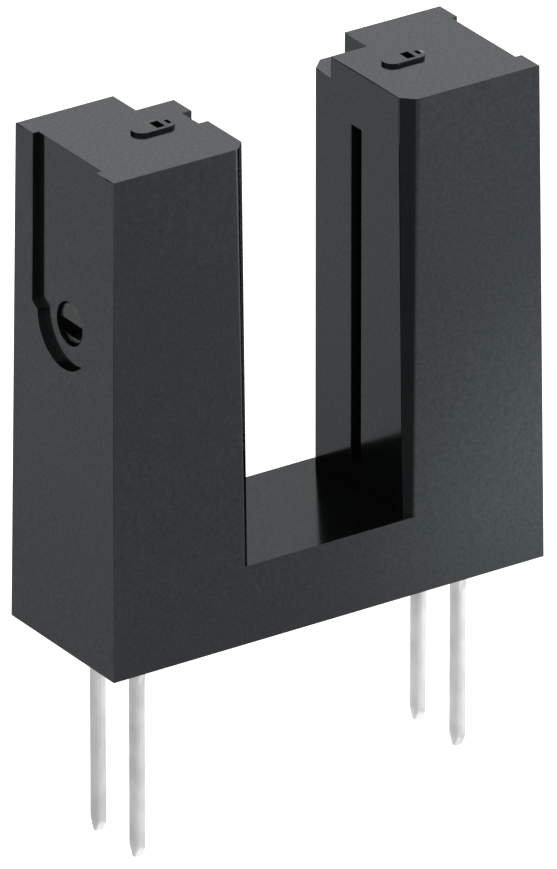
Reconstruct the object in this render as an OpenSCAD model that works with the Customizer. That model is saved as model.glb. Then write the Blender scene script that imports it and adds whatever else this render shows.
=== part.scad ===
// Slotted optical switch: a U-shaped housing that holds an infrared emitter in one arm and a
// phototransistor in the other. The origin is the centre of the face that sits on the board, X runs
// from the emitter to the detector, -Y is the front and +Z is up. All sizes are in millimetres.

/* [Housing] */
// Length across both arms, at the base
body_l = 13.9; // [13.6:0.1:16]
// Depth from front to back, at the base
body_w = 5; // [4.8:0.1:6]
// Height above the board
body_h = 14.5; // [14.2:0.1:18]
// How far each outer wall leans in between base and top
draft = 0.15; // [0.05:0.01:0.25]
// Thickness of the housing under the front of the slot
base_t = 2.3; // [1.5:0.1:2.8]

/* [Slot] */
// Clear width between the arms
slot_w = 5; // [4.4:0.1:5.4]
// How far the slot's floor falls from front to back
floor_fall = 0.2; // [0.05:0.01:0.25]
// Width of the bevels on the slot's upright front edges, at the level of the board
bevel_low = 0.23; // [0.1:0.01:0.3]
// Width of the same bevels at the top
bevel_high = 0.36; // [0.25:0.01:0.4]
// Width of the bevels on the slot's upright back edges, at the level of the board
bevel_back = 0.55; // [0.2:0.01:0.6]

/* [Optics] */
// Height of the light path above the board
axis_z = 9.5; // [9:0.1:10]
// Width of the aperture slits
slit_w = 0.5; // [0.3:0.05:1]
// Lower end of the slits
slit_low = 3; // [2.9:0.1:6]
// Upper end of the slits
slit_high = 12.9; // [11:0.1:13]
// Radius of the lens on each resin body
lens_r = 1.2; // [0.8:0.05:1.4]
// How far each lens bulges
lens_h = 0.6; // [0.3:0.05:0.7]

/* [Walls] */
// Wall between the slot and the cavity in each arm
inner_wall = 0.6; // [0.4:0.05:0.7]
// Wall at the front and back of each cavity
side_wall = 0.6; // [0.4:0.05:0.7]
// Wall between each cavity and the channel in the end face, where it is thinnest
end_wall = 0.6; // [0.4:0.05:0.7]
// Thickness of the roof over each cavity
roof_t = 1.2; // [0.9:0.05:1.2]

/* [End channels] */
// Width of the channel in each end face
channel_w = 3.05; // [2.6:0.05:3.3]
// Depth of the channel
channel_d = 0.2; // [0.1:0.01:0.25]
// Radius of the round lower end of the channel
channel_r = 1.25; // [1:0.05:1.5]
// Height over which the channel narrows to that round end
channel_neck = 0.17; // [0.1:0.01:0.4]
// Diameter of the hole that the resin body snaps into
snap_d = 1.25; // [0.8:0.05:1.4]

/* [Top] */
// Length of the rebate at the inner back corner of each arm
rebate_l = 1.2; // [0.8:0.1:1.6]
// Depth of that rebate from the back face
rebate_w = 1.1; // [0.8:0.1:1.4]
// Height of that rebate
rebate_h = 0.6; // [0.3:0.05:0.7]
// Width of the small index notch in the emitter arm
index_w = 0.8; // [0.4:0.1:1]
// Depth of the index notch into the arm
index_d = 0.3; // [0.1:0.05:0.4]
// Length of the raised mark where the plastic entered the mould
gate_l = 1.3; // [0.9:0.05:1.5]
// Width of that mark
gate_w = 0.62; // [0.4:0.02:0.8]
// Height of that mark
gate_h = 0.09; // [0.03:0.01:0.15]

/* [Leads] */
// Distance from each end of the housing to the leads in that arm
lead_inset = 1.75; // [1.65:0.05:2]
// Distance between the two leads of a pair
lead_pitch = 1.9; // [1.7:0.05:2.2]
// Width of a lead below the housing
lead_w = 0.5; // [0.3:0.05:0.55]
// Thickness of the lead metal
lead_t = 0.25; // [0.15:0.01:0.3]
// Length of the emitter's leads below the board face
emitter_lead_l = 6.25; // [3:0.05:10]
// Length of the detector's leads below the board face
detector_lead_l = 5.8; // [3:0.05:10]

/* [Fits] */
// Gap between a resin body and the cavity's front and back walls
package_gap = 0.05; // [0.02:0.01:0.1]
// Gap around the snap boss in its hole
boss_gap = 0.05; // [0.02:0.01:0.1]
// How far the end of the boss stays below the channel's floor
boss_recess = 0.05; // [0.02:0.01:0.2]
// Height of the gap that splits the end of the boss, so that it can snap in
latch_gap = 0.4; // [0.2:0.05:0.5]

/* [Hidden] */
$fn = 64;
EMITTER = -1;
DETECTOR = 1;
past = 1;

half_l = body_l / 2;
half_w = body_w / 2;
half_slot = slot_w / 2;
top_scale = [(body_l - 2 * draft) / body_l, (body_w - 2 * draft) / body_w];
wall_lean = atan(draft / body_h);

cavity_in = half_slot + inner_wall;
channel_top = half_l - draft - channel_d;
cavity_out = channel_top - end_wall;
cavity_half_w = half_w - side_wall;
cavity_top = body_h - roof_t;

gate_x = half_slot + 1.5;
gate_pits = [[0.14, 0.26, 0.4], [0.47, 0.12, 0.24]];
gate_pit_h = 0.08;
index_h = 0.5;

lead_x = half_l - lead_inset;
lead_y = lead_pitch / 2;
pad_face = lead_x - lead_t / 2;
shoulder_w = lead_w + 0.2;
shoulder_low = 0.6;
shoulder_h = 1;
tip_w = lead_w * 0.3;
tip_h = 0.3;
pad_half_h = 0.8;
pad_edge = lead_y - shoulder_w / 2 - 0.2;

head_h = 4.8;
head_face = pad_face - 1.1;
head_half_w = cavity_half_w - package_gap;
head_low = axis_z - head_h / 2;
stem_face = pad_face - 0.6;
stem_half_w = lead_y + shoulder_w / 2 + 0.3;
stem_low = 0.3;
lens_ball_r = (lens_r * lens_r + lens_h * lens_h) / (2 * lens_h);
boss_end = channel_top - boss_recess;
latch_low = axis_z - latch_gap;
latch_d = 0.45;

emitter_chip_w = 0.3;
emitter_chip_h = 0.2;
detector_chip_w = 0.6;
detector_chip_h = 0.25;
wire_d = 0.05;

// Puts what is drawn for the detector's arm into the arm asked for
module in_arm(side) {
    mirror([side == EMITTER ? 1 : 0, 0, 0])
        children();
}

// Extrudes an outline drawn in Y and Z along X, between two places
module plate_x(from, to) {
    translate([from, 0, 0])
        rotate([90, 0, 90])
            linear_extrude(to - from)
                children();
}

module rod_x(d, from, to) {
    plate_x(from, to)
        circle(d = d);
}

module box_between(low, high) {
    translate(low)
        cube(high - low);
}

// Bevel of one upright front edge of the slot, which widens towards the top
module front_bevel() {
    tall = body_h + past;
    translate([half_slot, -half_w, 0])
        rotate([-wall_lean, 0, 0])
            linear_extrude(tall, slices = 1, scale = 1 + (bevel_high / bevel_low - 1) * tall / body_h)
                rotate(45)
                    square(bevel_low * sqrt(2), center = true);
}

// Outline of the slot seen from above, with its back corners cut off
module slot_outline() {
    flare = half_slot + bevel_back + past;
    polygon([
        [-half_slot, -half_w - past],
        [half_slot, -half_w - past],
        [half_slot, half_w - bevel_back],
        [flare, half_w + past],
        [-flare, half_w + past],
        [-half_slot, half_w - bevel_back]
    ]);
}

// All that is above the slot's falling floor
module above_floor() {
    rise = past * floor_fall / body_w;
    plate_x(-body_l, body_l)
        polygon([
            [-half_w - past, base_t + rise],
            [half_w + past, base_t - floor_fall - rise],
            [half_w + past, body_h + past],
            [-half_w - past, body_h + past]
        ]);
}

module slot_cut() {
    intersection() {
        union() {
            linear_extrude(body_h + past)
                slot_outline();
            in_arm(EMITTER)
                front_bevel();
            in_arm(DETECTOR)
                front_bevel();
        }
        above_floor();
    }
}

// Channel down the end face, with its round lower end and the hole for the snap boss
module end_channel() {
    translate([half_l, 0, 0])
        rotate([0, -wall_lean, 0])
            plate_x(-channel_d, past) {
                polygon([
                    [-channel_w / 2, body_h + past],
                    [-channel_w / 2, axis_z + channel_neck],
                    [-channel_r, axis_z],
                    [channel_r, axis_z],
                    [channel_w / 2, axis_z + channel_neck],
                    [channel_w / 2, body_h + past]
                ]);
                translate([0, axis_z])
                    circle(r = channel_r);
            }
    translate([0, 0, axis_z])
        rod_x(snap_d, cavity_out - past, half_l + past);
}

// Raised mark that the mould's gate leaves on one arm
module gate_mark(side) {
    straight = gate_l - gate_w;
    translate([side * gate_x, 0, body_h - gate_h])
        linear_extrude(2 * gate_h) {
            square([straight, gate_w], center = true);
            for (end = [-1, 1])
                translate([end * straight / 2, 0])
                    circle(d = gate_w);
        }
}

// Pits where the plastic broke off that mark, each with its place along X, its length and its width
module gate_break(side) {
    for (pit = gate_pits)
        translate([side * gate_x + pit[0] - pit[1] / 2, -pit[2] / 2, body_h - gate_pit_h])
            cube([pit[1], pit[2], past]);
}

// Everything that is hollowed out of one arm
module arm_cuts() {
    box_between([cavity_in, -cavity_half_w, -past], [cavity_out, cavity_half_w, cavity_top]);
    box_between([half_slot - past, -slit_w / 2, slit_low], [cavity_in + past, slit_w / 2, slit_high]);
    box_between(
        [half_slot - past, half_w - draft - rebate_w, body_h - rebate_h],
        [half_slot + rebate_l, half_w + past, body_h + past]
    );
    end_channel();
}

module housing() {
    color("#2b2e2f")
        difference() {
            union() {
                linear_extrude(body_h, slices = 1, scale = top_scale)
                    square([body_l, body_w], center = true);
                gate_mark(EMITTER);
                gate_mark(DETECTOR);
            }
            slot_cut();
            in_arm(EMITTER)
                arm_cuts();
            in_arm(DETECTOR)
                arm_cuts();
            gate_break(EMITTER);
            gate_break(DETECTOR);
            in_arm(EMITTER)
                box_between(
                    [half_slot - past, -index_w / 2, body_h - index_h],
                    [half_slot + index_d, index_w / 2, body_h + past]
                );
        }
}

// Outline of a straight lead in Y and Z, about its own middle line, from its tip to a height
module lead_outline(length, top) {
    polygon([
        [-tip_w / 2, -length],
        [tip_w / 2, -length],
        [lead_w / 2, tip_h - length],
        [lead_w / 2, -shoulder_h],
        [shoulder_w / 2, -shoulder_low],
        [shoulder_w / 2, top],
        [-shoulder_w / 2, top],
        [-shoulder_w / 2, -shoulder_low],
        [-lead_w / 2, -shoulder_h],
        [-lead_w / 2, tip_h - length]
    ]);
}

// Lead at the front, whose pad carries the chip on the light path
module chip_lead(length) {
    plate_x(pad_face, pad_face + lead_t) {
        translate([-lead_y, 0])
            lead_outline(length, axis_z + pad_half_h);
        translate([-lead_y, axis_z - pad_half_h])
            square([lead_y + pad_edge, 2 * pad_half_h]);
    }
}

// Lead at the back, where the bond wire ends
module wire_lead(length) {
    plate_x(pad_face, pad_face + lead_t)
        translate([lead_y, 0])
            lead_outline(length, axis_z + pad_half_h / 2);
}

module chip(width, height) {
    translate([pad_face - height, -width / 2, axis_z - width / 2])
        cube([height, width, width]);
}

// Half a turn from the chip's face, then straight to the lead
module bond_wire(chip_h) {
    translate([pad_face - chip_h, lead_y / 2, axis_z])
        rotate([0, 0, 90])
            rotate_extrude(angle = 180)
                translate([lead_y / 2, 0])
                    circle(d = wire_d);
    translate([0, lead_y, axis_z])
        rod_x(wire_d, pad_face - chip_h, pad_face);
}

module resin_lens() {
    intersection() {
        translate([head_face - lens_h + lens_ball_r, 0, axis_z])
            sphere(r = lens_ball_r);
        box_between(
            [head_face - past, -lens_ball_r, axis_z - lens_ball_r],
            [pad_face - lead_t, lens_ball_r, axis_z + lens_ball_r]
        );
    }
}

// Resin body moulded round the leads, the chip and the wire
module resin_body(lead_l, chip_w, chip_h) {
    difference() {
        union() {
            box_between([head_face, -head_half_w, head_low], [cavity_out, head_half_w, head_low + head_h]);
            box_between([stem_face, -stem_half_w, stem_low], [cavity_out, stem_half_w, head_low]);
            resin_lens();
            translate([0, 0, axis_z])
                rod_x(snap_d - 2 * boss_gap, lead_x + lead_t, boss_end);
        }
        box_between(
            [boss_end - latch_d, -snap_d, latch_low],
            [boss_end + past, snap_d, latch_low + latch_gap]
        );
        chip_lead(lead_l);
        wire_lead(lead_l);
        chip(chip_w, chip_h);
        bond_wire(chip_h);
    }
}

module emitter_package() {
    color("#a9bcc8")
        in_arm(EMITTER)
            resin_body(emitter_lead_l, emitter_chip_w, emitter_chip_h);
}

module emitter_cathode_lead() {
    color("#d3d5d6")
        in_arm(EMITTER)
            chip_lead(emitter_lead_l);
}

module emitter_anode_lead() {
    color("#d3d5d6")
        in_arm(EMITTER)
            wire_lead(emitter_lead_l);
}

module emitter_chip() {
    color("#6d6a78")
        in_arm(EMITTER)
            chip(emitter_chip_w, emitter_chip_h);
}

module emitter_bond_wire() {
    color("#d8b256")
        in_arm(EMITTER)
            bond_wire(emitter_chip_h);
}

module detector_package() {
    color("#231f24")
        in_arm(DETECTOR)
            resin_body(detector_lead_l, detector_chip_w, detector_chip_h);
}

module detector_collector_lead() {
    color("#d3d5d6")
        in_arm(DETECTOR)
            chip_lead(detector_lead_l);
}

module detector_emitter_lead() {
    color("#d3d5d6")
        in_arm(DETECTOR)
            wire_lead(detector_lead_l);
}

module detector_chip() {
    color("#4b5560")
        in_arm(DETECTOR)
            chip(detector_chip_w, detector_chip_h);
}

module detector_bond_wire() {
    color("#d8b256")
        in_arm(DETECTOR)
            bond_wire(detector_chip_h);
}

housing();
emitter_package();
emitter_cathode_lead();
emitter_anode_lead();
emitter_chip();
emitter_bond_wire();
detector_package();
detector_collector_lead();
detector_emitter_lead();
detector_chip();
detector_bond_wire();
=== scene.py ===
# %% [markdown]
# A slotted optical switch stands on its four leads. A black moulded housing forks into two arms. One arm
# holds an infrared emitter, the other a phototransistor, and a card that passes between them breaks the
# light. This lesson dresses the finished solids: it softens the moulded edges, draws the tinned leads
# with Geometry Nodes, mixes the materials from small shader groups, and lights it all on a white table.

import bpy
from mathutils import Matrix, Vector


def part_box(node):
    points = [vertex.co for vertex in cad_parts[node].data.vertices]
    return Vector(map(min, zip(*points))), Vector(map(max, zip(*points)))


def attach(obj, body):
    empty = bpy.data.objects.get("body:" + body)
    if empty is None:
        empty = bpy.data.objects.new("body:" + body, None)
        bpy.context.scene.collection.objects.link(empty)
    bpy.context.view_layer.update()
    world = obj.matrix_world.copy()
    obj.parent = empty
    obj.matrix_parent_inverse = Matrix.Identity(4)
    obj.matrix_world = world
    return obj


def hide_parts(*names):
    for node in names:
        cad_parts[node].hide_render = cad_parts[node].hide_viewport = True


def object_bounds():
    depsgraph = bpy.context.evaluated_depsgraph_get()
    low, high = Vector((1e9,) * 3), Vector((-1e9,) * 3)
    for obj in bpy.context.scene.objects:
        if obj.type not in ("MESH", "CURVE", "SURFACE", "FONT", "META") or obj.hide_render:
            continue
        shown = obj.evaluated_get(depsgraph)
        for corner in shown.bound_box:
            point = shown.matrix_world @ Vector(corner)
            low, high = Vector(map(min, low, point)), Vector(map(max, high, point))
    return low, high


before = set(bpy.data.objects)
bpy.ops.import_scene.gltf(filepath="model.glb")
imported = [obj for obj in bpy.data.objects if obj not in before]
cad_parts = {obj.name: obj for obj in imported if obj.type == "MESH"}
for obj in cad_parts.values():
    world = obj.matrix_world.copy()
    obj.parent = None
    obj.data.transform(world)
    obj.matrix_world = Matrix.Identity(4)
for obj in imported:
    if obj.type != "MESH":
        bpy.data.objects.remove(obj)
cad_box = [list(corner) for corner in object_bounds()]

import math

import bmesh
import bpy
from mathutils import Vector

MM = 0.001
print("nodes:", sorted(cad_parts))

# %% [markdown]
# The portrait is taken with a very long lens, so upright edges stay upright and parallel edges stay
# parallel. Such a camera could be orthographic, but a perspective camera far away keeps the last trace of
# depth that the eye expects. It is placed by two angles and a distance from the point it looks at, which
# is easier to adjust than coordinates.

# %% Camera
CAMERA_AZIMUTH = math.radians(-33.92)
CAMERA_ELEVATION = math.radians(25.43)
CAMERA_DISTANCE = 452.2 * MM
CAMERA_AIM = Vector((0, 0, 4.5 * MM))
CAMERA_LENS = 700
CAMERA_SENSOR = 36


def direction_from(azimuth, elevation):
    """Unit vector from the object towards someone who stands at these angles."""
    flat = math.cos(elevation)
    return Vector((math.sin(azimuth) * flat, -math.cos(azimuth) * flat, math.sin(elevation)))


towards_camera = direction_from(CAMERA_AZIMUTH, CAMERA_ELEVATION)
camera = bpy.data.objects.new("portrait_camera", bpy.data.cameras.new("portrait_camera"))
bpy.context.scene.collection.objects.link(camera)
camera.data.lens = CAMERA_LENS
camera.data.sensor_width = CAMERA_SENSOR
camera.location = CAMERA_AIM + towards_camera * CAMERA_DISTANCE
camera.rotation_mode = "QUATERNION"
camera.rotation_quaternion = (-towards_camera).to_track_quat("-Z", "Y")
bpy.context.scene.camera = camera
print("camera stands", round(CAMERA_DISTANCE / MM), "mm away")

# %% [markdown]
# Materials are node trees. A few small helpers keep their code short: they add a node and set its values,
# wire two sockets, make and place a shader group, and make an empty material with its shader and its
# Object coordinates. Object coordinates are in metres here, because every piece sits at the origin with
# its place in its mesh.

# %% Node helpers
def add(tree, kind, **values):
    """New node. A value whose name is a socket's goes to that socket, any other is a setting of the node."""
    node = tree.nodes.new(kind)
    for name, value in values.items():
        socket = node.inputs.get(name.replace("_", " "))
        if socket is None:
            setattr(node, name, value)
        else:
            socket.default_value = value
    return node


def set_sockets(node, **values):
    """Gives sockets of a node their constants. An underscore in a name stands for a space."""
    for name, value in values.items():
        node.inputs[name.replace("_", " ")].default_value = value


def wire(tree, source, target):
    tree.links.new(source, target)


def new_group(name, inputs, outputs):
    """Empty shader group with its named sockets. An input has a default value, or None if it is a vector."""
    tree = bpy.data.node_groups.new(name, "ShaderNodeTree")
    for socket, value in inputs.items():
        kind = "NodeSocketVector" if value is None else "NodeSocketFloat"
        made = tree.interface.new_socket(socket, in_out="INPUT", socket_type=kind)
        if value is not None:
            made.default_value = value
    for socket in outputs:
        tree.interface.new_socket(socket, in_out="OUTPUT", socket_type="NodeSocketFloat")
    return tree, tree.nodes.new("NodeGroupInput").outputs, tree.nodes.new("NodeGroupOutput").inputs


def place_group(tree, group, place, **values):
    """Puts a group into a material, wires its Place and sets its other inputs."""
    node = tree.nodes.new("ShaderNodeGroup")
    node.node_tree = group
    set_sockets(node, **values)
    wire(tree, place, node.inputs["Place"])
    return node


def new_material(name):
    """Material with a Principled shader. Returns it, its tree, the shader and its Object coordinates."""
    material = bpy.data.materials.new(name)
    material.use_nodes = True
    tree = material.node_tree
    shader = tree.nodes["Principled BSDF"]
    place = tree.nodes.new("ShaderNodeTexCoord").outputs["Object"]
    return material, tree, shader, place


helpers = (add, set_sockets, wire, new_group, place_group, new_material)
print("helpers:", [helper.__name__ for helper in helpers])

# %% [markdown]
# Moulded plastic is never quite even: the steel of the mould leaves a fine grain, and the melt cools in
# faint clouds. Both are wanted in more than one material, so they are one shader group that gives a cloud
# mask and a grain height. A drawn texture could hold them too, but noise has no seams and is as fine as
# it needs to be.

# %% Moulded skin group
CLOUD_DETAIL = 4.0
GRAIN_DETAIL = 2.0


def build_moulded_skin():
    tree, given, result = new_group(
        "moulded_skin",
        {"Place": None, "Grain per mm": 18.0, "Clouds per mm": 0.5},
        ("Clouds", "Grain"),
    )
    in_mm = add(tree, "ShaderNodeVectorMath", operation="SCALE", Scale=1 / MM)
    wire(tree, given["Place"], in_mm.inputs[0])
    for output, detail in (("Clouds", CLOUD_DETAIL), ("Grain", GRAIN_DETAIL)):
        noise = add(tree, "ShaderNodeTexNoise", Detail=detail, Roughness=0.6)
        wire(tree, in_mm.outputs[0], noise.inputs["Vector"])
        wire(tree, given[output + " per mm"], noise.inputs["Scale"])
        wire(tree, noise.outputs["Fac"], result[output])
    return tree


moulded_skin = build_moulded_skin()
print("group:", moulded_skin.name, [socket.name for socket in moulded_skin.interface.items_tree])

# %% [markdown]
# A mask from such a group does its work in a few ways: it stirs a value between two limits, mixes two
# tones, or gives the surface a height. Each way is a helper, so that a material reads as a list of what
# its masks do.

# %% What masks do
NOISE_LOW = 0.3
NOISE_HIGH = 0.7


def stirred(tree, mask, low, high):
    """A value that follows a mask between two limits."""
    node = add(
        tree, "ShaderNodeMapRange", From_Min=NOISE_LOW, From_Max=NOISE_HIGH, To_Min=low, To_Max=high,
    )
    wire(tree, mask, node.inputs["Value"])
    return node.outputs["Result"]


def two_tones(tree, mask, low, high):
    """A colour that follows a mask between two tones."""
    node = add(tree, "ShaderNodeMix", data_type="RGBA", A=(*low, 1), B=(*high, 1))
    wire(tree, mask, node.inputs["Factor"])
    return node.outputs["Result"]


def tone_and_gloss(tree, shader, tone_mask, tones, gloss_mask, roughness):
    """Lets one mask stir the colour between two tones, and one the roughness between two limits."""
    wire(tree, two_tones(tree, tone_mask, *tones), shader.inputs["Base Color"])
    wire(tree, stirred(tree, gloss_mask, *roughness), shader.inputs["Roughness"])


def bumped(tree, shader, height, depth):
    """Feeds a height into the shader's normal, through a bump of this depth in metres."""
    bump = add(tree, "ShaderNodeBump", Strength=1.0, Distance=depth)
    wire(tree, height, bump.inputs["Height"])
    wire(tree, bump.outputs["Normal"], shader.inputs["Normal"])


print("masks count from", NOISE_LOW, "to", NOISE_HIGH)

# %% [markdown]
# The housing's plastic is nearly black all through. What we see on it is mostly the white room, mirrored
# weakly in a satin skin: more at a slant, as on the top, and less head on, as on the front. So the base
# colour is very dark, and the roughness is low enough to mirror the slot's walls in each other. The
# clouds stir both a little, and the grain breaks up a thin coat, as a polished skin does over a grained
# one.

# %% Black moulding
BLACK_TONES = ((0.0019, 0.0022, 0.0023), (0.0033, 0.0038, 0.0040))
BLACK_ROUGHNESS = (0.10, 0.15)
BLACK_COAT = (0.25, 0.55)
BLACK_GRAIN_DEPTH = 0.0005 * MM


def make_black_moulding():
    material, tree, shader, place = new_material("black_moulding")
    skin = place_group(tree, moulded_skin, place, Grain_per_mm=10.0, Clouds_per_mm=0.45)
    clouds = skin.outputs["Clouds"]
    grain = skin.outputs["Grain"]
    tone_and_gloss(tree, shader, clouds, BLACK_TONES, clouds, BLACK_ROUGHNESS)
    wire(tree, stirred(tree, grain, *BLACK_COAT), shader.inputs["Coat Weight"])
    set_sockets(
        shader, IOR=1.42, Specular_IOR_Level=0.3, Specular_Tint=(0.83, 0.96, 1.0, 1),
        Coat_IOR=1.42, Coat_Roughness=0.12,
    )
    bumped(tree, shader, grain, BLACK_GRAIN_DEPTH)
    return material


black_moulding = make_black_moulding()
print("material:", black_moulding.name)

# %% [markdown]
# A finished mesh becomes a piece in the same way each time: it gets its material, is shaded smooth on
# narrow facets only, so that wide faces stay flat, and takes the place of its solid. Smooth shading
# everywhere with weighted normals could do the same, but a limit on the facet's width is easier to
# follow.

# %% From mesh to piece
SHARP_EDGE = math.radians(38)
WIDEST_FACET = 0.1 * MM


def dressed(mesh, name, material, node):
    """Object for a finished mesh, smooth on its narrow facets and flat elsewhere, which replaces a node."""
    piece = bpy.data.objects.new(name, mesh)
    bpy.context.scene.collection.objects.link(piece)
    mesh.materials.clear()
    mesh.materials.append(material)
    mesh.set_sharp_from_angle(angle=SHARP_EDGE)
    for face in mesh.polygons:
        rim = [mesh.vertices[corner].co for corner in face.vertices]
        round_it = sum((a - b).length for a, b in zip(rim, rim[1:] + rim[:1]))
        face.use_smooth = 2 * face.area < WIDEST_FACET * round_it
    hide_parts(node)
    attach(piece, "root")
    print(name, "has", len(mesh.polygons), "faces")
    return piece


print("facets up to about", WIDEST_FACET / MM, "mm wide are shaded smooth")

# %% [markdown]
# The solids come out of the CAD with knife edges, and nothing moulded has those. Each dressed piece is a
# copy of its solid: its triangles are merged and joined into flat faces, and its sharp outer edges, apart
# from very short ones on the housing, are rolled over with a small bevel that catches the light. Faces
# without area, which bevels leave where they meet, are removed. The edges where a card enters the slot
# are rounder than the rest. A subdivision surface would round the whole form, and a bevel keeps the flats
# flat.

# %% Round the moulded edges
FLAT_JOIN = math.radians(0.4)
MERGE = 0.0004 * MM
SLOT_ROUNDING = 0.09 * MM
SLOT_ROUNDING_STEPS = 5
MOULD_ROUNDING = 0.02 * MM
MOULD_ROUNDING_STEPS = 2
SHORTEST_HOUSING_EDGE = 0.55 * MM


def roll_over(shape, edges, radius, steps):
    bmesh.ops.bevel(
        shape, geom=edges, offset=radius, offset_type="OFFSET", segments=steps, profile=0.5,
        affect="EDGES", clamp_overlap=False, miter_outer="SHARP", miter_inner="SHARP",
    )


def is_slot_front(edge):
    """Whether the edge lies between the front and one of the upright bevels that lead into the slot."""
    if not edge.is_manifold:
        return False
    front, bevel = sorted((face.normal for face in edge.link_faces), key=lambda normal: normal.y)
    faces_front = front.y < -0.99
    at_half_right_angle = -0.75 < bevel.y < -0.65
    upright = abs(bevel.z) < 0.1
    return faces_front and at_half_right_angle and upright


def softened_copy(node, name, radius, steps, material, shortest=0.0):
    """Piece with the shape of a CAD node, its outer edges rounded, which stands for that node."""
    shape = bmesh.new()
    shape.from_mesh(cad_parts[node].data)
    bmesh.ops.remove_doubles(shape, verts=shape.verts, dist=MERGE)
    bmesh.ops.dissolve_limit(shape, angle_limit=FLAT_JOIN, verts=shape.verts, edges=shape.edges)
    roll_over(shape, [e for e in shape.edges if is_slot_front(e)], SLOT_ROUNDING, SLOT_ROUNDING_STEPS)
    sharp = [
        e for e in shape.edges
        if e.is_manifold and e.is_convex and e.calc_face_angle(0) > SHARP_EDGE and e.calc_length() > shortest
    ]
    roll_over(shape, sharp, radius, steps)
    bmesh.ops.remove_doubles(shape, verts=shape.verts, dist=MERGE)
    bmesh.ops.dissolve_degenerate(shape, edges=shape.edges, dist=MERGE)
    mesh = bpy.data.meshes.new(name)
    shape.to_mesh(mesh)
    shape.free()
    return dressed(mesh, name, material, node)


housing = softened_copy(
    "housing", "dressed_housing", MOULD_ROUNDING, MOULD_ROUNDING_STEPS, black_moulding, SHORTEST_HOUSING_EDGE,
)

# %% [markdown]
# The two resin bodies are alike in shape but not in resin: the emitter's lets light out and is clear, the
# detector's lets only infrared in and is nearly black with a violet cast. Clear resin could be a glass
# shader, but a Principled shader with full transmission has the same look and keeps one kind of shader
# for the whole object.

# %% Resins
CLEAR_TONES = ((0.36, 0.44, 0.50), (0.48, 0.56, 0.62))
CLEAR_ROUGHNESS = (0.20, 0.30)
DARK_TONES = ((0.010, 0.006, 0.011), (0.020, 0.012, 0.021))
DARK_ROUGHNESS = (0.10, 0.20)
RESIN_IOR = 1.54
RESIN_GRAIN_DEPTH = 0.0008 * MM


def make_resin(name, tones, roughness, transmission):
    material, tree, shader, place = new_material(name)
    skin = place_group(tree, moulded_skin, place, Grain_per_mm=9.0, Clouds_per_mm=0.8)
    clouds = skin.outputs["Clouds"]
    tone_and_gloss(tree, shader, clouds, tones, clouds, roughness)
    set_sockets(shader, IOR=RESIN_IOR, Transmission_Weight=transmission)
    bumped(tree, shader, skin.outputs["Grain"], RESIN_GRAIN_DEPTH)
    return material


clear_resin = make_resin("clear_resin", CLEAR_TONES, CLEAR_ROUGHNESS, 1.0)
dark_resin = make_resin("dark_resin", DARK_TONES, DARK_ROUGHNESS, 0.0)
for node, resin, slot in (
    ("emitter_package", clear_resin, "clear_resin"),
    ("detector_package", dark_resin, "dark_resin"),
):
    package = softened_copy(node, "dressed_" + node, MOULD_ROUNDING, MOULD_ROUNDING_STEPS, resin)

# %% [markdown]
# Leads are stamped from sheet, then dipped in tin. The tin rounds their corners and lies a little
# unevenly, so the white table breaks up in it into soft streaks along the lead, and its tone drifts in
# slow blooms. The streaks are noise squeezed along the length. Anisotropic shading could draw them too,
# but it needs tangents, and the noise needs only a place.

# %% Tinned metal
TIN_TONES = ((0.43, 0.413, 0.407), (0.97, 0.93, 0.925))
TIN_ROUGHNESS = (0.34, 0.48)
TIN_STREAK_DEPTH = 0.006 * MM


def build_dip_streaks():
    tree, given, result = new_group(
        "dip_streaks",
        {"Place": None, "Streaks per mm": 5.0, "Stretch": 0.12},
        ("Streaks", "Bloom"),
    )
    in_mm = add(tree, "ShaderNodeVectorMath", operation="SCALE", Scale=1 / MM)
    squeeze = add(tree, "ShaderNodeCombineXYZ", X=1.0, Y=1.0)
    along = add(tree, "ShaderNodeVectorMath", operation="MULTIPLY")
    streaks = add(tree, "ShaderNodeTexNoise", Detail=3.0, Roughness=0.55)
    bloom = add(tree, "ShaderNodeTexNoise", Scale=0.9, Detail=4.0)
    wire(tree, given["Place"], in_mm.inputs[0])
    wire(tree, given["Stretch"], squeeze.inputs["Z"])
    wire(tree, in_mm.outputs[0], along.inputs[0])
    wire(tree, squeeze.outputs[0], along.inputs[1])
    wire(tree, along.outputs[0], streaks.inputs["Vector"])
    wire(tree, given["Streaks per mm"], streaks.inputs["Scale"])
    wire(tree, in_mm.outputs[0], bloom.inputs["Vector"])
    wire(tree, streaks.outputs["Fac"], result["Streaks"])
    wire(tree, bloom.outputs["Fac"], result["Bloom"])
    return tree


def make_tinned_metal():
    material, tree, shader, place = new_material("tinned_metal")
    dip = place_group(tree, dip_streaks, place)
    streaks = dip.outputs["Streaks"]
    tone_and_gloss(tree, shader, dip.outputs["Bloom"], TIN_TONES, streaks, TIN_ROUGHNESS)
    set_sockets(shader, Metallic=1.0)
    bumped(tree, shader, streaks, TIN_STREAK_DEPTH)
    return material


dip_streaks = build_dip_streaks()
tinned_metal = make_tinned_metal()
print("material:", tinned_metal.name)

# %% [markdown]
# The four leads follow one rule: a rounded strip that is wide inside the housing, steps down in a
# shoulder just below it and narrows to a sheared tip. Two of them also carry a pad for the chip. One
# Geometry Nodes tree draws such a lead from its sizes. A bevelled copy of the solid would do for one
# lead, and the tree does for all four. First come helpers that keep the tree's arithmetic short, and one
# that sweeps a rounded bar.

# %% Lead tree helpers
ROUNDING_STEPS = 3


def feed(tree, value, socket):
    """Sets a socket to a number, or wires another socket into it."""
    if isinstance(value, float):
        socket.default_value = value
    else:
        wire(tree, value, socket)


def calculated(tree, operation, a, b):
    """Result of a math node."""
    node = add(tree, "ShaderNodeMath", operation=operation)
    feed(tree, a, node.inputs[0])
    feed(tree, b, node.inputs[1])
    return node.outputs[0]


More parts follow.
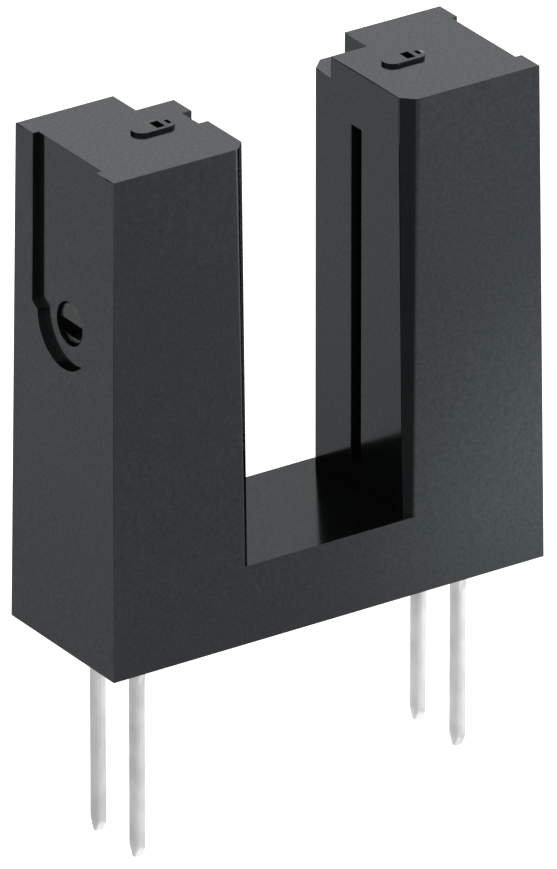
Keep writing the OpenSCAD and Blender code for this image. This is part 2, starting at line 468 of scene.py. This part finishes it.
def ramp(tree, value, start, end, low, high):
    """Runs from low to high while a value runs from start to end, and stays level beyond."""
    node = add(tree, "ShaderNodeMapRange")
    names = ("Value", "From Min", "From Max", "To Min", "To Max")
    for name, source in zip(names, (value, start, end, low, high)):
        feed(tree, source, node.inputs[name])
    return node.outputs["Result"]


def point(tree, x, y, z):
    node = tree.nodes.new("ShaderNodeCombineXYZ")
    for socket, value in zip(node.inputs, (x, y, z)):
        feed(tree, value, socket)
    return node.outputs[0]


def swept_bar(tree, start, end, width, height, rounding, stations=0):
    """Bar with a rounded section along a straight line, cut across at stations if a number is given."""
    line = tree.nodes.new("GeometryNodeCurvePrimitiveLine")
    wire(tree, start, line.inputs["Start"])
    wire(tree, end, line.inputs["End"])
    path = line.outputs[0]
    if stations:
        cuts = add(tree, "GeometryNodeResampleCurve", Count=stations)
        wire(tree, path, cuts.inputs["Curve"])
        path = cuts.outputs[0]
    section = tree.nodes.new("GeometryNodeCurvePrimitiveQuadrilateral")
    wire(tree, width, section.inputs["Width"])
    wire(tree, height, section.inputs["Height"])
    rounded = add(tree, "GeometryNodeFilletCurve", mode="POLY", Count=ROUNDING_STEPS)
    wire(tree, section.outputs[0], rounded.inputs["Curve"])
    wire(tree, rounding, rounded.inputs["Radius"])
    sweep = add(tree, "GeometryNodeCurveToMesh", Fill_Caps=True)
    wire(tree, path, sweep.inputs["Curve"])
    wire(tree, rounded.outputs[0], sweep.inputs["Profile Curve"])
    return sweep.outputs[0]


print("corners of a lead have", ROUNDING_STEPS, "steps")

# %% [markdown]
# The strip is swept at one width up a line with many stations. Then each point is moved sideways to the
# width that the rule gives at its height, and a slow wave thins it here and there, as the tin runs off
# unevenly. Its crest is set near the top of the noise, so it thins the lead and hardly ever swells it.

# %% Strip of a lead
LEAD_STATIONS = 170
WAVES_PER_METRE = 1500.0
WAVE_CREST = 0.8


def shaped_strip(tree, given):
    bottom = point(tree, 0.0, 0.0, given["Tip"])
    top = point(tree, 0.0, 0.0, given["Top"])
    bar = swept_bar(
        tree, bottom, top, given["Thickness"], given["Width"], given["Rounding"], LEAD_STATIONS,
    )
    place = tree.nodes.new("GeometryNodeInputPosition").outputs[0]
    split = tree.nodes.new("ShaderNodeSeparateXYZ")
    wire(tree, place, split.inputs[0])
    x, y, z = split.outputs

    full = given["Width"]
    shoulder = ramp(tree, z, given["Shoulder End"], given["Shoulder Top"], full, given["Shoulder Width"])
    tip_end = calculated(tree, "ADD", given["Tip"], given["Tip Height"])
    tip = ramp(tree, z, given["Tip"], tip_end, given["Tip Width"], full)
    width = calculated(tree, "SUBTRACT", calculated(tree, "ADD", shoulder, tip), full)
    scale = calculated(tree, "DIVIDE", width, full)

    wave = add(tree, "ShaderNodeTexNoise", Scale=WAVES_PER_METRE, Detail=1.0)
    wire(tree, place, wave.inputs["Vector"])
    below_crest = calculated(tree, "SUBTRACT", wave.outputs["Fac"], WAVE_CREST)
    swell = calculated(tree, "ADD", calculated(tree, "MULTIPLY", below_crest, given["Ripple"]), 1.0)

    wide = calculated(tree, "MULTIPLY", calculated(tree, "MULTIPLY", y, scale), swell)
    thick = calculated(tree, "MULTIPLY", x, swell)
    new_x = calculated(tree, "ADD", thick, given["Across"])
    new_y = calculated(tree, "ADD", wide, given["Along"])
    moved = tree.nodes.new("GeometryNodeSetPosition")
    wire(tree, bar, moved.inputs["Geometry"])
    wire(tree, point(tree, new_x, new_y, z), moved.inputs["Position"])
    return moved.outputs[0]


print("a strip has", LEAD_STATIONS, "stations")

# %% [markdown]
# The pad is a short bar that runs through the lead's thickness, beside the strip and level with its top.
# A lead without a pad gets one without reach, which the tree drops, so that one tree serves both kinds.

# %% Pad of a lead
LEAST_REACH = 0.001 * MM


def chip_pad(tree, given):
    reach = calculated(tree, "SUBTRACT", given["Pad To"], given["Pad From"])
    half = calculated(tree, "MULTIPLY", given["Thickness"], 0.5)
    start = point(tree, calculated(tree, "MULTIPLY", half, -1.0), 0.0, 0.0)
    end = point(tree, half, 0.0, 0.0)
    plate = swept_bar(tree, start, end, reach, given["Pad Height"], given["Rounding"])
    middle = calculated(tree, "MULTIPLY", calculated(tree, "ADD", given["Pad From"], given["Pad To"]), 0.5)
    half_height = calculated(tree, "MULTIPLY", given["Pad Height"], 0.5)
    level = calculated(tree, "SUBTRACT", given["Top"], half_height)
    put = tree.nodes.new("GeometryNodeTransform")
    wire(tree, plate, put.inputs["Geometry"])
    wire(tree, point(tree, given["Across"], middle, level), put.inputs["Translation"])
    drop = tree.nodes.new("GeometryNodeDeleteGeometry")
    wire(tree, put.outputs[0], drop.inputs["Geometry"])
    wire(tree, calculated(tree, "LESS_THAN", reach, LEAST_REACH), drop.inputs["Selection"])
    return drop.outputs[0]


print("a pad needs more than", LEAST_REACH / MM, "mm of reach")

# %% [markdown]
# The tree gets a named input for each size, so that a lead is one set of numbers. Strip and pad are
# joined, made real and given their material inside the tree, so its result needs nothing more.

# %% Lead tree
LEAD_INPUTS = {
    "Across": 0.0, "Along": 0.0, "Tip": -1.0, "Top": 1.0, "Thickness": 1.0, "Width": 1.0,
    "Shoulder Width": 1.0, "Shoulder Top": 0.0, "Shoulder End": -1.0, "Tip Width": 1.0, "Tip Height": 1.0,
    "Rounding": 0.1, "Ripple": 0.0, "Pad From": 0.0, "Pad To": 0.0, "Pad Height": 0.0,
}


def build_lead_tree():
    tree = bpy.data.node_groups.new("tinned_lead", "GeometryNodeTree")
    for name, value in LEAD_INPUTS.items():
        made = tree.interface.new_socket(name, in_out="INPUT", socket_type="NodeSocketFloat")
        made.default_value = value
    tree.interface.new_socket("Finish", in_out="INPUT", socket_type="NodeSocketMaterial")
    tree.interface.new_socket("Lead", in_out="OUTPUT", socket_type="NodeSocketGeometry")
    given = tree.nodes.new("NodeGroupInput").outputs
    join = tree.nodes.new("GeometryNodeJoinGeometry")
    wire(tree, chip_pad(tree, given), join.inputs[0])
    wire(tree, shaped_strip(tree, given), join.inputs[0])
    real = tree.nodes.new("GeometryNodeRealizeInstances")
    finish = tree.nodes.new("GeometryNodeSetMaterial")
    wire(tree, join.outputs[0], real.inputs[0])
    wire(tree, real.outputs[0], finish.inputs["Geometry"])
    wire(tree, given["Finish"], finish.inputs["Material"])
    wire(tree, finish.outputs[0], tree.nodes.new("NodeGroupOutput").inputs[0])
    return tree


lead_tree = build_lead_tree()
print("lead tree has", len(lead_tree.nodes), "nodes")

# %% [markdown]
# Each lead takes its place, its thickness and its ends from the box of its own solid, so the drawn lead
# stays where the solid is. The width of a plain lead's box is the shoulder's width. The tree is run once
# for each lead, and its result is kept as a plain mesh.

# %% Four leads
plain_low, plain_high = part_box("emitter_anode_lead")
SHOULDER_WIDTH = plain_high.y - plain_low.y
SHOULDER_STEP = 0.2 * MM
LEAD_WIDTH = SHOULDER_WIDTH - SHOULDER_STEP
SHOULDER_TOP = -0.6 * MM
SHOULDER_END = -1.0 * MM
TIP_SHARE = 0.3
TIP_WIDTH = LEAD_WIDTH * TIP_SHARE
TIP_HEIGHT = 0.3 * MM
TIN_ROUNDING = 0.06 * MM
TIN_RIPPLE = 0.05
PAD_HEIGHT = 1.6 * MM
PLAIN_LEAD_LIMIT = SHOULDER_WIDTH * 1.5


def lead_sizes(node):
    """The lead tree's inputs for one lead, by name. Only a lead with a pad is wider than a plain one."""
    low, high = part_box(node)
    has_pad = high.y - low.y > PLAIN_LEAD_LIMIT
    at_front = low.y + high.y < 0
    along = low.y + SHOULDER_WIDTH / 2 if at_front else high.y - SHOULDER_WIDTH / 2
    return {
        "Across": (low.x + high.x) / 2, "Along": along, "Tip": low.z, "Top": high.z,
        "Thickness": high.x - low.x, "Width": LEAD_WIDTH, "Shoulder Width": SHOULDER_WIDTH,
        "Shoulder Top": SHOULDER_TOP, "Shoulder End": SHOULDER_END,
        "Tip Width": TIP_WIDTH, "Tip Height": TIP_HEIGHT,
        "Rounding": TIN_ROUNDING, "Ripple": TIN_RIPPLE, "Finish": tinned_metal,
        "Pad From": low.y + SHOULDER_WIDTH if has_pad else 0.0,
        "Pad To": high.y if has_pad else 0.0,
        "Pad Height": PAD_HEIGHT if has_pad else 0.0,
    }


def drawn_lead(node, name):
    sizes = lead_sizes(node)
    blank = bpy.data.objects.new(name, bpy.data.meshes.new(name))
    bpy.context.scene.collection.objects.link(blank)
    draw = blank.modifiers.new("draw", "NODES")
    draw.node_group = lead_tree
    for item in lead_tree.interface.items_tree:
        if item.in_out == "INPUT":
            draw[item.identifier] = sizes[item.name]
    bpy.context.view_layer.update()
    result = bpy.data.meshes.new_from_object(blank.evaluated_get(bpy.context.evaluated_depsgraph_get()))
    bpy.data.objects.remove(blank)
    return dressed(result, name, tinned_metal, node)


for node in (
    "emitter_cathode_lead", "emitter_anode_lead", "detector_collector_lead", "detector_emitter_lead",
):
    drawn_lead(node, "tinned_" + node)

# %% [markdown]
# The chips and their gold wires are sealed in the resin, deep inside the arms, so they hardly show. A
# chip has a polished face with a bright bonding spot in its middle, which the distance from the chip's
# middle can draw, and the wire is soft drawn gold.

# %% Chips and wires
CHIP_TONES = ((0.05, 0.055, 0.075), (0.62, 0.60, 0.55))
CHIP_ROUGHNESS = 0.15
CHIP_ROUNDING = 0.01 * MM
SPOT_RIM = (0.42, 0.38)
GOLD_TONES = ((0.70, 0.44, 0.12), (0.86, 0.60, 0.22))
GOLD_ROUGHNESS = (0.18, 0.32)
WIRE_ROUNDING = 0.004 * MM


def make_chip_face(node):
    material, tree, shader, place = new_material(node)
    low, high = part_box(node)
    chip_width = high.y - low.y
    from_middle = add(tree, "ShaderNodeVectorMath", operation="DISTANCE")
    from_middle.inputs[1].default_value = (low + high) / 2
    outer, inner = SPOT_RIM
    spot = add(tree, "ShaderNodeMapRange", From_Min=chip_width * outer, From_Max=chip_width * inner)
    wire(tree, place, from_middle.inputs[0])
    wire(tree, from_middle.outputs["Value"], spot.inputs["Value"])
    wire(tree, two_tones(tree, spot.outputs["Result"], *CHIP_TONES), shader.inputs["Base Color"])
    wire(tree, spot.outputs["Result"], shader.inputs["Metallic"])
    set_sockets(shader, Roughness=CHIP_ROUGHNESS)
    return material


def make_gold_wire():
    material, tree, shader, place = new_material("gold_wire")
    dip = place_group(tree, dip_streaks, place, Streaks_per_mm=20.0, Stretch=1.0)
    tone_and_gloss(tree, shader, dip.outputs["Bloom"], GOLD_TONES, dip.outputs["Streaks"], GOLD_ROUGHNESS)
    set_sockets(shader, Metallic=1.0)
    return material


gold_wire = make_gold_wire()
for side in ("emitter", "detector"):
    chip_node = side + "_chip"
    wire_node = side + "_bond_wire"
    chip_face = make_chip_face(chip_node)
    chip = softened_copy(chip_node, "dressed_" + chip_node, CHIP_ROUNDING, steps=1, material=chip_face)
    bond_wire = softened_copy(
        wire_node, "dressed_" + wire_node, WIRE_ROUNDING, steps=1, material=gold_wire,
    )

# %% [markdown]
# Small glossy parts are shot inside a white tent, and what looks like shading on the black plastic is the
# tent, mirrored in it. The tent is a dome that only reflections see. Its cloth is white, with soft
# patches that are in shade, and one that is brighter: these give each side of the housing its own grey.
# Lamps and cards could do the same, but a patch is easier to place, because it is a direction and a share
# of the light.

# %% Tent cloth
TENT_LEVEL = 1.5
TENT_TINT = (0.945, 1.0, 1.0)
TENT_PATCHES = {
    # what mirrors it: direction from the middle, full effect within, none beyond (degrees), share of light
    "end face and inner wall": ((-0.55, 0.75, -0.33), 20, 42, 0.47),
    "lower end face": ((-0.50, 0.68, -0.60), 6, 18, 0.85),
    "dark wedge in the slot": ((-0.47, 0.75, 0.46), 22, 34, 0.02),
    "left part of the front": ((0.00, -0.90, -0.43), 24, 41, 0.66),
    "slot bevel of the right arm": ((-0.68, -0.66, -0.31), 10, 22, 0.22),
    "corners of the leads": ((-0.86, -0.18, -0.50), 20, 36, 0.60),
    "tops of the arms": ((0.46, 0.68, 0.58), 16, 30, 0.72),
    "floor of the slot": ((0.50, 0.80, 0.28), 8, 14, 0.53),
    "right end of the front": ((0.67, -0.58, -0.46), 4, 15.5, 2.05),
    "fronts of the right leads": ((0.62, -0.45, -0.65), 14, 21, 0.53),
    "slot edge of the left arm": ((0.90, 0.05, -0.43), 15, 35, 0.80),
}


def patch_share(tree, outward, direction, inner, outer, share):
    """Share of the light that a patch leaves or adds, by the direction from the tent's middle."""
    facing = add(tree, "ShaderNodeVectorMath", operation="DOT_PRODUCT")
    facing.inputs[1].default_value = Vector(direction).normalized()
    shade = add(
        tree, "ShaderNodeMapRange", interpolation_type="SMOOTHSTEP", To_Min=1.0, To_Max=share,
        From_Min=math.cos(math.radians(outer)), From_Max=math.cos(math.radians(inner)),
    )
    wire(tree, outward, facing.inputs[0])
    wire(tree, facing.outputs["Value"], shade.inputs["Value"])
    return shade.outputs["Result"]


def make_tent_cloth():
    """Emission of the tent: its level times the share of each patch."""
    material = bpy.data.materials.new("tent_cloth")
    material.use_nodes = True
    tree = material.node_tree
    tree.nodes.clear()
    place = tree.nodes.new("ShaderNodeTexCoord").outputs["Object"]
    outward = add(tree, "ShaderNodeVectorMath", operation="NORMALIZE")
    wire(tree, place, outward.inputs[0])
    level = TENT_LEVEL
    for patch in TENT_PATCHES.values():
        level = calculated(tree, "MULTIPLY", level, patch_share(tree, outward.outputs[0], *patch))
    cloth = add(tree, "ShaderNodeEmission", Color=(*TENT_TINT, 1))
    wire(tree, level, cloth.inputs["Strength"])
    wire(tree, cloth.outputs[0], tree.nodes.new("ShaderNodeOutputMaterial").inputs["Surface"])
    return material


tent_cloth = make_tent_cloth()
print("tent cloth has", len(TENT_PATCHES), "patches")

# %% [markdown]
# The table is a plain pale sheet that glows a little, as a light table does, so it stays white right
# under the part. It lies just below the tips of the leads, and the tent stands round the part. The room
# beyond is white too. A white background could stand in for the sheet, but the sheet also takes the
# part's soft shadow.

# %% Table and tent
TENT_RADIUS = 45 * MM
TENT_CENTRE_Z = 4 * MM
TENT_SEGMENTS = 64
TABLE_SIZE = 800 * MM
TABLE_GAP = 0.01 * MM
TABLE_GLOW = 0.75
TABLE_TONES = ((0.78, 0.78, 0.78), (0.82, 0.82, 0.82))


def make_table_top():
    material, tree, shader, place = new_material("table_top")
    paper = add(tree, "ShaderNodeTexNoise", Scale=40.0, Detail=4.0)
    wire(tree, place, paper.inputs["Vector"])
    wire(tree, two_tones(tree, paper.outputs["Fac"], *TABLE_TONES), shader.inputs["Base Color"])
    set_sockets(
        shader, Roughness=0.9, Specular_IOR_Level=0.0,
        Emission_Color=(1, 1, 1, 1), Emission_Strength=TABLE_GLOW,
    )
    return material


def staged(name, shape, material):
    """Object for a bmesh that belongs to the studio, not to the part."""
    mesh = bpy.data.meshes.new(name)
    shape.to_mesh(mesh)
    shape.free()
    mesh.materials.append(material)
    piece = bpy.data.objects.new(name, mesh)
    bpy.context.scene.collection.objects.link(piece)
    return piece


world = bpy.data.worlds.new("white_room")
bpy.context.scene.world = world
world.use_nodes = True
set_sockets(world.node_tree.nodes["Background"], Color=(1, 1, 1, 1))
bpy.context.scene.view_settings.view_transform = "Standard"

sheet = bmesh.new()
bmesh.ops.create_grid(sheet, x_segments=1, y_segments=1, size=TABLE_SIZE / 2)
table = staged("white_table", sheet, make_table_top())
table.location.z = cad_box[0][2] - TABLE_GAP
table.visible_glossy = False

dome = bmesh.new()
bmesh.ops.create_uvsphere(
    dome, u_segments=TENT_SEGMENTS, v_segments=TENT_SEGMENTS // 2, radius=TENT_RADIUS,
)
bmesh.ops.reverse_faces(dome, faces=dome.faces)
tent = staged("white_tent", dome, tent_cloth)
tent.location.z = TENT_CENTRE_Z
for ray in ("camera", "diffuse", "transmission", "volume_scatter", "shadow"):
    setattr(tent, "visible_" + ray, False)
print("table at", round(table.location.z / MM, 2), "mm, tent", round(TENT_RADIUS / MM), "mm in radius")
